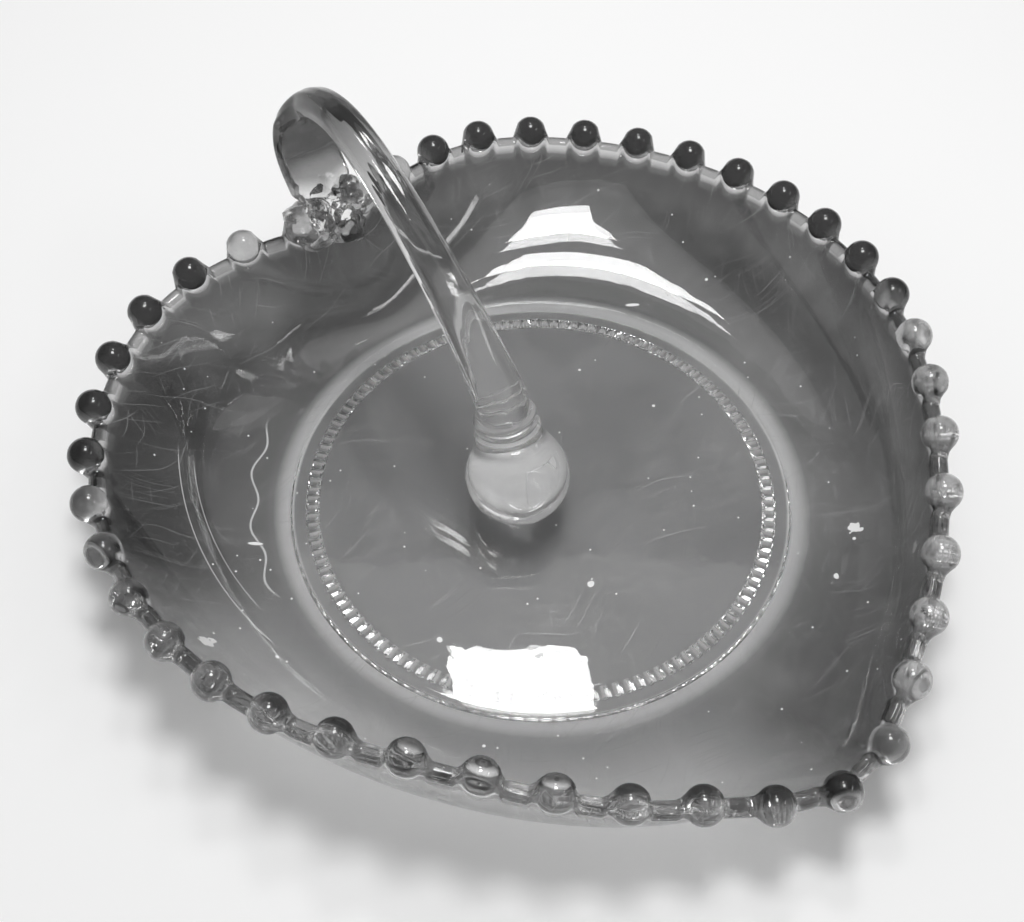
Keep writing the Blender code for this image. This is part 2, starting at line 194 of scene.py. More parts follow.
# Ripples of the glass: cells to the metre, the share of the fine ones, and the depth on each surface.
BROAD_RIPPLE = 70.0
FINE_RIPPLE = 260.0
FINE_SHARE = 0.10
CRINKLE_SCALE = 420.0
INSIDE_RIPPLE = 0.00010
OUTSIDE_RIPPLE = 0.00006
HANDLE_RIPPLE = 0.00010

GLASS_IOR = 1.5
COAT_WEIGHT = 0.25
COAT_ROUGHNESS = 0.3

# Painted shade and painted light in the clear glass: how much light each surface lets through, from dark to
# clear where there are two values.
INNER_TINT = 0.95
BEAD_TINT = (0.04, 0.90)
# How pale the beads are painted round the rim, as painted light where light falls on them: plan angle from
# the tip in degrees, and a share from dark to clear.
PALE_BEADS = ((-180.0, 0.6), (-163.0, 0.6), (-158.0, 0.0), (-121.0, 0.0), (-115.0, 0.5), (-82.0, 0.5),
              (-74.0, 0.3), (2.0, 0.3), (12.0, 1.0), (70.0, 1.0), (77.0, 0.0), (160.0, 0.0), (166.0, 0.6),
              (180.0, 0.6))
# The same painted light for the outside of the wall, which is painted pale beside the tip.
PALE_WALL = ((-110.0, 0.0), (-80.0, 1.0), (-15.0, 1.0), (5.0, 0.0))
# The beads beside the tip get painted shade on the side towards the dish and painted light, clear, on the
# outer side.
SPLIT_BEADS = ((-80.0, 0.0), (-72.0, 1.0), (2.0, 1.0), (9.0, 0.0))
SPLIT_TINT = (0.03, 0.95)
SPLIT_AT = (0.42, 0.58)  # where they turn clear, in shares of the way round their section
# Painted light on the rounded edge between the beads.
BRIDGE_TINT = 0.42
EDGE_FROM = 0.96  # share of the wall above which its outside takes the tint of the bridges
# Painted shade on the outside of the wall, dark towards the rim and lighter low down, and on the underside;
# painted highlights on the ribs of the foot and its outer edge.
WALL_TINT = (0.005, 0.80)
LOW_WALL_TINT = 0.20
FLOOR_TINT = 0.27
RING_TINT = 1.00
RING_EDGE_TINT = 0.84
RING_EDGE_TO = 0.08  # share of the wall up to which its outside has a part in the tint of the ring's edge
# Painted shade on the handle, dark at its root and clear at the ball, with the block of lumps kept clear.
LUMP_TINT = 0.95
ROOT_TINT = 0.10
BALL_TINT = 1.00
CLEARING_RUN = 0.045  # length in plan over which the handle's painted shade clears from its root to the ball
LUMPY_RUN = (0.003, 0.006)  # where the block's own finish ends, in from the cleft
LUMPY_RISE = (0.005, 0.009)  # and where it ends upwards
# Milky veils, painted light that brightens the ball, the pale beads and the ribs of the foot, and the range
# of the noise in which they come up.
# Painted light on the ball, a milky veil that brightens it.
BALL_MILKY_LIGHT = 0.06
BALL_MILKY_LIGHT_RUN = (0.040, 0.052)  # where it starts, in from the cleft
PALE_MILKY_LIGHT = 0.25  # painted light in streaks on the pale beads
RING_MILKY_LIGHT = 0.15  # painted highlight on the ribs of the foot
MILKY_LIGHT_SCALE = 420.0  # cells to the metre
MILKY_LIGHT_RANGE = (0.32, 0.60)
# Clear spot of the underside, painted light that makes the ball seen through it look bright: how far from
# under it towards the window, and its radius.
BALL_LIGHT_SPOT = 0.0070
BALL_LIGHT_RADIUS = 0.0105

# Floor that the tray stands on.
GROUND_SIZE = 3.0
GROUND_COLOUR = 0.97
GROUND_ROUGHNESS = 0.9
GROUND_DROP = 0.0003  # it lies this far below the foot

# Light.
WORLD_STRENGTH = 0.35
WINDOW_HEADING = 53.0  # degrees in plan
WINDOW_HEIGHT = 0.6
# Panes of the window: name, how far along the heading and aside from it, length and width, and watts.
PANES = (("near_pane", 0.035, 0.016, (0.16, 0.147), 1.40), ("far_pane", 0.264, 0.0, (0.08, 0.085), 0.42))
# The bright wall round the window is lamps one in the other, so that it fades outwards: how far along the
# heading they lie, the sizes of the largest and the smallest, and how bright they are together.
GLOW_MIDDLE = 0.10
GLOW_SIZES = ((0.54, 0.40), (0.34, 0.17))
GLOW_COUNT = 6
GLOW_RADIANCE = 3.5
# Lamp at the side: plan angle and height in degrees, distance, size and power.
SIDE_TURN = -48.0
SIDE_RISE = 48.0
SIDE_REACH = 0.6
SIDE_SIZE = (0.2, 0.05)
SIDE_POWER = 0.15

foot_mount = next(mount for mount in frame["record"]["mounts"] if mount["name"] == "foot")
FOOT_AXIS = np.array((foot_mount["pos_m"][0], foot_mount["pos_m"][1] + FOOT_RADIUS - FOOT_WIDTH / 2.0, 0.0))


def unit(vectors):
    """Vectors brought to length one."""
    return vectors / np.linalg.norm(vectors, axis=-1, keepdims=True)


def smooth_step(low, high, values):
    """A soft step from 0 to 1."""
    share = np.clip((values - low) / (high - low), 0.0, 1.0)
    return share * share * (3.0 - 2.0 * share)


def soft_max(a, b, ease):
    """The larger of two values, rounded where they meet."""
    return (a + b + np.sqrt((a - b) ** 2 + ease ** 2)) / 2.0


def between(ends, share):
    """A value on the way from one end to the other."""
    return ends[0] + (ends[1] - ends[0]) * share


def round_rim(angles, table):
    """A value at plan angles, from a table by angle in degrees."""
    return np.interp(np.degrees(angles), *zip(*table))


def rim_value(angles, column):
    """A station value at plan angles, on a smooth line through the stations."""
    turned = np.abs((np.degrees(angles) + 180.0) % 360.0 - 180.0)
    knots, values = STATIONS[:, 0], STATIONS[:, column]
    knots = np.concatenate(([-knots[1]], knots, [2.0 * knots[-1] - knots[-2]]))
    values = np.concatenate(([values[1]], values, [values[-2]]))
    i = np.clip(np.searchsorted(knots, turned, side="right") - 1, 1, len(knots) - 3)
    span = knots[i + 1] - knots[i]
    t = (turned - knots[i]) / span
    slope_a = span * (values[i + 1] - values[i - 1]) / (knots[i + 1] - knots[i - 1])
    slope_b = span * (values[i + 2] - values[i]) / (knots[i + 2] - knots[i])
    rise = values[i + 1] - values[i]
    return values[i] + t * (slope_a + t * (3.0 * rise - 2.0 * slope_a - slope_b
                                           + t * (slope_a + slope_b - 2.0 * rise)))


def rim_points(angles):
    """Where beads' centres would lie at plan angles."""
    reach = rim_value(angles, REACH)
    shift = CLEFT_SHIFT * np.maximum(0.0, -np.cos(angles)) ** CLEFT_SPREAD
    x = reach * np.sin(angles) + shift
    y = -reach * np.cos(angles)
    return np.stack((x, y, rim_value(angles, HEIGHT)), axis=-1)


def lengths_along(line):
    """How far along a line each of its points lies."""
    steps = np.linalg.norm(np.diff(line, axis=0), axis=1)
    return np.concatenate(([0.0], np.cumsum(steps)))


def new_object(name, points, faces, *materials):
    """A smooth mesh object at the origin."""
    mesh = bpy.data.meshes.new(name)
    mesh.from_pydata([tuple(point) for point in points], [], faces)
    for material in materials:
        mesh.materials.append(material)
    mesh.validate()
    mesh.shade_smooth()
    item = bpy.data.objects.new(name, mesh)
    bpy.context.scene.collection.objects.link(item)
    return item


def rounded(corners, radius, steps):
    """A flat line with its inner corners rounded off."""
    line = [np.array(corners[0])]
    for before, corner, after in zip(corners, corners[1:], corners[2:]):
        corner = np.array(corner)
        start = corner + unit(np.array(before) - corner) * radius
        end = corner + unit(np.array(after) - corner) * radius
        for t in np.linspace(0.0, 1.0, steps):
            line.append(start * (1 - t) ** 2 + corner * 2 * t * (1 - t) + end * t * t)
    return line + [np.array(corners[-1])]


def rim_columns():
    """Plan angles of the mesh's columns round the rim, and of the beads."""
    samples = np.linspace(-math.pi, math.pi, RIM_SAMPLES)
    along = lengths_along(rim_points(samples))
    whole = along[-1]
    beads = np.linspace(ROOT_SPAN / 2.0, whole - ROOT_SPAN / 2.0, BEAD_COUNT)
    columns = np.linspace(beads[0], beads[-1], (BEAD_COUNT - 1) * COLUMNS_PER_BEAD + 1)
    root = np.linspace(beads[-1], whole + beads[0], ROOT_COLUMNS + 1)[1:-1] % whole
    lengths = np.concatenate((columns, root))
    return np.interp(lengths, along, samples), np.interp(beads, along, samples)


def tray_points():
    """Rows of points of the tray's surface, each row once round, with their tints and veils of painted shade
    and light.

    The rows run from the floor up the inside of the wall, over the beaded rim, down the outside and in along
    the foot.
    """
    angles, bead_angles = rim_columns()
    rim = rim_points(angles)
    beads = rim_points(bead_angles)
    tangent = unit(rim_points(angles + TANGENT_STEP) - rim_points(angles - TANGENT_STEP))
    up = np.array((0.0, 0.0, 1.0))
    out = np.stack((np.sin(angles), -np.cos(angles), np.zeros_like(angles)), axis=-1)

    start = out * (FOOT_RADIUS + FOOT_SLOPE) + up * (FLOOR_TOP - FLOOR_THICKNESS / 2.0)
    run = (rim - start) * (1.0, 1.0, 0.0)
    run_length = np.linalg.norm(run, axis=1, keepdims=True)
    heading = run / run_length
    drop = (rim[:, 2:] - start[:, 2:]) / np.tan(np.radians(rim_value(angles, LEAN)))[:, None]
    corner = start + heading * (run_length - drop)
    low = start + (corner - start) * WALL_FULLNESS
    low = low + up * np.linalg.norm(low - start, axis=1, keepdims=True) * math.tan(math.radians(WALL_START))
    high = rim + (corner - rim) * WALL_FULLNESS

    def middle(t):
        s = 1.0 - t
        return start * s ** 3 + low * 3.0 * t * s * s + high * 3.0 * t * t * s + rim * t ** 3

    def climb(t):
        s = 1.0 - t
        return unit((low - start) * s * s + (high - low) * 2.0 * t * s + (rim - high) * t * t)

    # At the rim the section turns square to the rim, so that the beads are round.
    rising = unit(rim - high)
    rising = unit(rising - (rising * tangent).sum(1, keepdims=True) * tangent)
    inward = np.cross(rising, tangent)
    inward *= np.sign((inward * -out).sum(1, keepdims=True) + (inward * up).sum(1, keepdims=True))

    # Each bead is a ball cut by the columns' planes, and between beads the edge is rounded off lower down.
    apart = ((rim[:, None, :] - beads[None, :, :]) ** 2).sum(2)
    nearest = beads[apart.argmin(1)]
    offset = nearest - rim
    ahead = (offset * tangent).sum(1)
    aside = offset - ahead[:, None] * tangent
    half = RIM_THICKNESS / 2.0
    bead = BEAD_RADIUS - SKIN
    ball = np.sqrt(np.maximum(bead ** 2 - ahead ** 2, 0.0))
    radius = np.maximum(soft_max(ball, half, BRIDGE_EASE), half * LEAST_EDGE)
    radius = np.minimum(radius, bead)
    away = smooth_step(BRIDGE_STARTS[0] * bead, BRIDGE_STARTS[1] * bead, np.abs(ahead))[:, None]
    centre = rim + aside * (1.0 - away) - rising * BRIDGE_DROP * away
    spread = np.arcsin(np.minimum(half / radius, 1.0))

    below = BRIDGE_DROP * away[:, 0] + radius * np.cos(spread)
    shares = np.linspace(*END_SEARCH)
    distances = np.stack([np.linalg.norm(rim - middle(t), axis=1) for t in shares])
    last = np.array([np.interp(-gap, -distances[:, i], shares) for i, gap in enumerate(below)])

    inside, outside = [], []
    for share in np.linspace(0.0, 1.0, WALL_ROWS):
        t = (last * share)[:, None]
        along = climb(t)
        across = up * (along * heading).sum(1, keepdims=True) - heading * along[:, 2:]
        across = unit(across + (inward - across) * smooth_step(SQUARE_FROM, 1.0, t))
        thick = (FLOOR_THICKNESS * (1.0 - t) + RIM_THICKNESS * t) / 2.0
        point = middle(t)
        inside.append(point + across * thick)
        outside.append(point - across * thick)

    ring = []
    for share in np.linspace(0.0, 1.0, RING_ROWS + 2)[1:-1]:
        turn = (spread + (2.0 * math.pi - 2.0 * spread) * share)[:, None]
        ring.append(centre + radius[:, None] * (np.sin(turn) * inward - np.cos(turn) * rising))

    foot_inner = FOOT_RADIUS - FOOT_WIDTH
    rib_end = foot_inner + RIB_FULL * RIB_LENGTH
    corners = ((FOOT_RADIUS + FOOT_SLOPE, FOOT_HEIGHT), (FOOT_RADIUS, 0.0), (rib_end, 0.0), (foot_inner, 0.0),
               (foot_inner - FOOT_SLOPE, FOOT_HEIGHT), (foot_inner - 2.0 * FOOT_SLOPE, FOOT_HEIGHT))
    profile = rounded(corners, FOOT_ROUND, FOOT_ARC) + [(foot_inner / 2.0, FOOT_HEIGHT)]
    # The inner part of the foot is cut by radial V grooves, and its ribs get a painted highlight, clear and
    # milky.
    groove = 1.0 - np.abs(2.0 * (np.arange(len(angles)) % RIB_COLUMNS) / RIB_COLUMNS - 1.0)
    foot, foot_tints, foot_milky_lights = [], [], []
    for radius_here, height in profile[1:]:
        cut = RIB_DEPTH * smooth_step(foot_inner + RIB_LENGTH, rib_end, radius_here)
        raised = np.minimum(np.maximum(height, cut * groove), FOOT_HEIGHT)
        foot.append(out * radius_here + up * raised[:, None])
        ribbed = float(foot_inner - FOOT_SLOPE < radius_here < foot_inner + RIB_BRIGHT * RIB_LENGTH)
        # The foot's outer edge gets a paler painted highlight, and the rest of the underside painted shade.
        outer_edge = smooth_step(FOOT_RADIUS - FOOT_ROUND, FOOT_RADIUS, radius_here)
        plain = FLOOR_TINT + (RING_EDGE_TINT - FLOOR_TINT) * outer_edge
        bright = ribbed * smooth_step(*RIB_FLANK, groove)
        foot_tints.append(plain + (RING_TINT - plain) * bright)
        foot_milky_lights.append(RING_MILKY_LIGHT * bright)
    floor = [out * (FOOT_RADIUS * share) + up * FLOOR_TOP for share in FLOOR_ROWS]

    # Painted light and shade on the rim: beads pale where light falls and dark elsewhere, split dark and
    # clear beside the tip, with paler bridges.
    pale = round_rim(angles, PALE_BEADS)
    bead_tint = between(BEAD_TINT, pale)
    split = round_rim(angles, SPLIT_BEADS)
    bridge_tint = between((BRIDGE_TINT, SPLIT_TINT[1]), split)
    rim_tints = []
    for share in np.linspace(0.0, 1.0, RING_ROWS):
        side_tint = between(SPLIT_TINT, smooth_step(*SPLIT_AT, share))
        tint = between((bead_tint, side_tint), split)
        rim_tints.append(between((tint, bridge_tint), away[:, 0]))
    wall_tint = between(WALL_TINT, round_rim(angles, PALE_WALL))
    # Painted light on the pale beads, as a milky veil.
    rim_milky_light = PALE_MILKY_LIGHT * pale * (1.0 - away[:, 0])
    return floor + inside, ring, outside[::-1] + foot, rim_tints, rim_milky_light, wall_tint, foot_tints, foot_milky_lights


def loft(rows, closed_start, closed_end):
    """Points and faces of a skin over closed rows, with a middle point at both ends."""
    count = len(rows[0])
    points = np.concatenate(rows + [[closed_start], [closed_end]])
    first, last = len(points) - 2, len(points) - 1
    faces = []
    for row in range(len(rows) - 1):
        a, b = row * count, (row + 1) * count
        for i in range(count):
            j = (i + 1) % count
            faces.append((a + i, a + j, b + j, b + i))
    end = (len(rows) - 1) * count
    for i in range(count):
        j = (i + 1) % count
        faces.append((first, j, i))
        faces.append((last, end + i, end + j))
    return points, faces


def face_out(item):
    """Turn a closed mesh's faces outwards."""
    builder = bmesh.new()
    builder.from_mesh(item.data)
    bmesh.ops.recalc_face_normals(builder, faces=builder.faces)
    builder.to_mesh(item.data)
    builder.free()


def set_shares(item, name, values):
    """Store a value for each point of a mesh, for its material."""
    layer = item.data.attributes.new(name, "FLOAT", "POINT")
    layer.data.foreach_set("value", values.astype(np.float32))


def make_tray(inner_material, outer_material):
    """The dish with its beads, as one skin."""
    inside, ring, outside, rim_tints, rim_milky_light, wall_tint, foot_tints, foot_milky_lights = tray_points()
    rows = [row + FOOT_AXIS for row in inside + ring + outside]
    points, faces = loft(rows, FOOT_AXIS + (0.0, 0.0, FLOOR_TOP), FOOT_AXIS + (0.0, 0.0, FOOT_HEIGHT))
    item = new_object("tray_glass", points, faces, inner_material, outer_material)
    count = len(rows[0])
    # The outside of the wall gets painted shade, dark towards the rim and lighter low down, and painted light
    # near the bridges and the foot's edge.
    wall = np.linspace(1.0, 0.0, WALL_ROWS)
    edge = smooth_step(EDGE_FROM, 1.0, wall)[:, None]
    deep = (1.0 - wall[:, None]) ** 2
    start = smooth_step(RING_EDGE_TO, 0.0, wall)[:, None]
    outer = wall_tint + (LOW_WALL_TINT - wall_tint) * deep + (BRIDGE_TINT - wall_tint) * edge
    outer += (RING_EDGE_TINT - LOW_WALL_TINT) * start
    tints = np.concatenate([np.full(len(inside) * count, INNER_TINT)] + rim_tints + list(outer)
                           + foot_tints + [(INNER_TINT, FLOOR_TINT)])
    set_shares(item, "tint", tints)
    milky_lights = [np.zeros(len(inside) * count)] + [rim_milky_light] * len(ring) + [np.zeros(WALL_ROWS * count)]
    set_shares(item, "milky_light", np.concatenate(milky_lights + foot_milky_lights + [(0.0, 0.0)]))
    # The faces of the inside come first, and the two fans at the middles take turns at the end.
    outer_faces = np.arange(len(faces)) >= (len(inside) - 1) * count
    outer_faces[len(faces) - 2 * count::2] = False
    item.data.polygons.foreach_set("material_index", outer_faces.astype(np.int32))
    # The ribs of the foot keep their crisp edges.
    crisp = np.zeros(len(faces), dtype=bool)
    crisp[(len(rows) - len(foot_tints)) * count:(len(rows) - 1) * count] = True
    item.data.polygons.foreach_set("use_smooth", ~crisp)
    face_out(item)
    return item


def bezier(a, b, c, d, steps):
    """Points of a cubic curve, both ends included."""
    t = np.linspace(0.0, 1.0, steps + 1)[:, None]
    return a * (1 - t) ** 3 + b * 3 * t * (1 - t) ** 2 + c * 3 * t * t * (1 - t) + d * t ** 3


def handle_profile(bead_side):
    """The handle's line in its upright plane, with its width and depth at each point."""
    cleft = STATIONS[-1]
    lean = math.radians(cleft[LEAN])
    rising = np.array((-math.cos(lean), math.sin(lean)))
    length = float(np.hypot(BALL_SIDE - CLEFT_SHIFT, cleft[REACH]))
    tilt = math.radians(BALL_LEAN)
    axis = np.array((-math.sin(tilt), math.cos(tilt)))
    ball = np.array((length, FLOOR_TOP + SEAT_GAP + BALL_RADIUS - BALL_FLAT))
    root = np.array((0.0, cleft[HEIGHT])) + rising * EDGE_LIFT
    loop = np.array((-LOOP_OVERHANG, LOOP_HEIGHT))
    top = np.array((ARCH_SETBACK, ARCH_HEIGHT))
    foot = ball + axis * (NECK_LENGTH + COLLAR_LENGTH + 2.0 * SEAT_GAP)
    up = np.array((0.0, 1.0))
    inward = np.array((1.0, 0.0))
    bent = foot + axis * ROD_SEAT
    first = LOOP_PULL * np.linalg.norm(loop - root)
    second = LOOP_PULL * np.linalg.norm(top - loop)
    third = np.linalg.norm(bent - top)
    leg = bezier(root, root + rising * first, loop - up * first, loop, PATH_STEPS)
    bow = bezier(loop, loop + up * second, top - inward * second, top, PATH_STEPS)
    arch_end = top + inward * third * ARCH_PULL
    collar_end = bent + axis * third * COLLAR_PULL
    rod = bezier(top, arch_end, collar_end, bent, 2 * PATH_STEPS)
    half_bow = PATH_STEPS // 2
    limb = np.vstack((leg, bow[1:half_bow + 1]))
    shaft = np.vstack((bow[half_bow + 1:], rod[1:]))

    along = lengths_along(limb)
    narrow = 2.0 * (bead_side - BEAD_RADIUS - SEAT_GAP)
    broad = smooth_step(ROOT_RISE, ROOT_RISE + ROOT_SPREAD, along)
    drawn = smooth_step(along[-1] - ROD_BLEND, along[-1], along)
    width = narrow + (LOOP_WIDTH - narrow) * broad
    width += (ROD_TOP_DIAMETER - width) * drawn
    depth = ROOT_THICKNESS + (LOOP_THICKNESS - ROOT_THICKNESS) * broad
    depth += (ROD_TOP_DIAMETER - depth) * drawn

    shaft_along = lengths_along(np.vstack((limb[-1:], shaft)))[1:]
    flare = between((ROD_TOP_DIAMETER, ROD_FOOT_DIAMETER), (shaft_along / shaft_along[-1]) ** ROD_FLARE)

    # Below the rod the handle is turned: two fine rings, a bell-shaped neck and the ball.
    turned = [(COLLAR_LENGTH + NECK_LENGTH + 2.0 * SEAT_GAP, ROD_FOOT_DIAMETER / 2.0)]
    inner = COLLAR_DIAMETER / 2.0 - COLLAR_GROOVE
    for share in np.linspace(1.0, 0.0, COLLAR_ROWS):
        bulge = abs(math.sin(2.0 * math.pi * share)) ** COLLAR_ROUND
        turned.append((NECK_LENGTH + SEAT_GAP + COLLAR_LENGTH * share, inner + COLLAR_GROOVE * bulge))
    meet = math.radians(NECK_MEETS_BALL)
    ball_top = np.array((BALL_RADIUS * math.sin(meet), BALL_RADIUS * math.cos(meet)))
    neck_top = np.array((NECK_LENGTH, NECK_WAIST / 2.0))
    pull = (NECK_LENGTH - ball_top[0]) / 3.0
    leaving = np.array((math.cos(meet), -math.sin(meet))) * pull
    for point in bezier(neck_top, neck_top - (pull, 0.0), ball_top + leaving, ball_top, NECK_STEPS):
        turned.append(tuple(point))
    for angle in np.linspace(meet, -math.pi / 2.0, BALL_ROWS)[1:-1]:
        turned.append((BALL_RADIUS * math.sin(angle), BALL_RADIUS * math.cos(angle)))
    turned = np.array(turned)

    below = root - rising * np.linspace(ROOT_DEPTH, 0.0, ROOT_ROWS + 1)[:-1, None]
    line = np.vstack((below, limb, shaft, ball + axis * turned[:, :1]))
    widths = np.concatenate((np.full(ROOT_ROWS, narrow), width, flare, 2.0 * turned[:, 1]))
    depths = np.concatenate((np.full(ROOT_ROWS, ROOT_THICKNESS), depth, flare, 2.0 * turned[:, 1]))
    directions = np.gradient(line, axis=0)
    directions[-len(turned):] = -axis
    return line, unit(directions), widths, depths, ball - axis * BALL_RADIUS, len(turned)


def lump(number, place, axes, size):
    """A closed lump of glass with an uneven skin, half as wide as size along each axis."""
    builder = bmesh.new()
    bmesh.ops.create_icosphere(builder, subdivisions=LUMP_FINENESS, radius=1.0)
    (first_x, first_y, first_shift), (second_z, second_y, second_shift) = LUMP_WAVES
    for vertex in builder.verts:
        x, y, z = vertex.co
        uneven = math.sin(first_x * x + first_y * y + first_shift * number)
        uneven *= math.sin(second_z * z + second_y * y + second_shift * number)
        vertex.co = Vector(place + (np.array((x, y, z)) * size * (1.0 + LUMP_UNEVEN * uneven)) @ axes)
    mesh = bpy.data.meshes.new("lump")
    builder.to_mesh(mesh)
    builder.free()
    item = bpy.data.objects.new("lump", mesh)
    bpy.context.scene.collection.objects.link(item)
    face_out(item)
    return item


def unite(item, other):
    """Melt another closed mesh into an object and take the other away."""
    modifier = item.modifiers.new("unite", "BOOLEAN")
    modifier.operation = "UNION"
    modifier.object = other
    bpy.context.view_layer.update()
    mesh = bpy.data.meshes.new_from_object(item.evaluated_get(bpy.context.evaluated_depsgraph_get()))
    mesh.name = item.name
    item.modifiers.clear()
    item.data = mesh
    bpy.data.objects.remove(other, do_unlink=True)


def add_block(item, base, axes):
    """Melt the block of lumps at the root into the handle."""
    size = np.array(BLOCK_SIZE)
    middle = base + np.array((0.0, 0.0, BLOCK_RISE))
    unite(item, lump(0, middle, axes, size * CORE_SHARE))
    for number in range(1, LUMP_COUNT + 1):
        height = 1.0 - 2.0 * (number - 0.5) / LUMP_COUNT
        turn = number * GOLDEN_ANGLE
        ring = math.sqrt(1.0 - height * height)
        place = np.array((ring * math.cos(turn), ring * math.sin(turn), height)) * size
        stretch = 1.0 + LUMP_STRETCH * np.sin(number * np.array(LUMP_TURNS))
        unite(item, lump(number, middle + place @ axes, axes, LUMP_SIZE * stretch))


def fluted(turn, share):
    """How far out the rod's uneven skin lies round it, as a share of its radius."""
    waves = (depth * np.cos(count * turn + 2.0 * math.pi * turns * share) for count, depth, turns in FLUTES)
    return 1.0 + sum(waves)


def make_handle(material):
    """The handle from its root over the arch to the ball, as one skin."""
    bead_angles = rim_columns()[1]
    origin = rim_points(np.array((math.pi,)))[0] * (1.0, 1.0, 0.0)
    heading = unit(np.array((BALL_SIDE, 0.0, 0.0)) - origin)
    up = np.array((0.0, 0.0, 1.0))
    side = np.cross(heading, up)
    beside = rim_points(bead_angles[[0, -1]]) - origin
    bead_side = np.abs(beside @ side).min()
    line, directions, widths, depths, pole, turned_rows = handle_profile(bead_side)
    rows = []
    turn = np.linspace(0.0, 2.0 * math.pi, HANDLE_SIDES, endpoint=False)[:, None]
    shares = lengths_along(line) / lengths_along(line)[-1]
    last_flute = len(line) - turned_rows
    for number, (point, along, width, depth) in enumerate(zip(line, directions, widths, depths)):
        across = heading * along[1] - up * along[0]
        centre = origin + heading * point[0] + up * point[1]
        skin = fluted(turn, shares[number]) if number < last_flute else 1.0
        wide, deep = skin * (width / 2.0 - SKIN), skin * (depth / 2.0 - SKIN)
        rows.append(centre + side * np.cos(turn) * wide + across * np.sin(turn) * deep)
    ends = [origin + heading * p[0] + up * p[1] for p in (line[0], pole)]
    points, faces = loft(rows, *ends)
    # The lower half of the ball is squashed, so that it rests on the floor as the solid's flat does.
    level = FLOOR_TOP + SEAT_GAP + BALL_RADIUS - BALL_FLAT
    under = np.minimum(points[:, 2] - level, 0.0)
    points[:, 2] -= under * BALL_FLAT / BALL_RADIUS
    points += FOOT_AXIS
    item = new_object("handle_glass", points, faces, material)
    face_out(item)
    base = origin + up * STATIONS[-1, HEIGHT] + FOOT_AXIS
    add_block(item, base, np.stack((side, heading, up)))
    item.data.shade_smooth()
    item.data.set_sharp_from_angle(angle=math.radians(SMOOTH_ANGLE))
    away = np.array([vertex.co for vertex in item.data.vertices]) - base
    run = away @ heading
    # Painted shade, dark at the root and clearing towards the ball; the lumps are kept clear, and a milky
    # veil of painted light brightens the ball.
    tint = between((ROOT_TINT, BALL_TINT), smooth_step(0.0, CLEARING_RUN, run))
    lumpy = (1.0 - smooth_step(*LUMPY_RUN, run)) * (1.0 - smooth_step(*LUMPY_RISE, away[:, 2]))
    set_shares(item, "tint", between((tint, LUMP_TINT), lumpy))
    set_shares(item, "crinkle", ROOT_CRINKLE * lumpy)
    set_shares(item, "milky_light", BALL_MILKY_LIGHT * smooth_step(*BALL_MILKY_LIGHT_RUN, run))
    return item


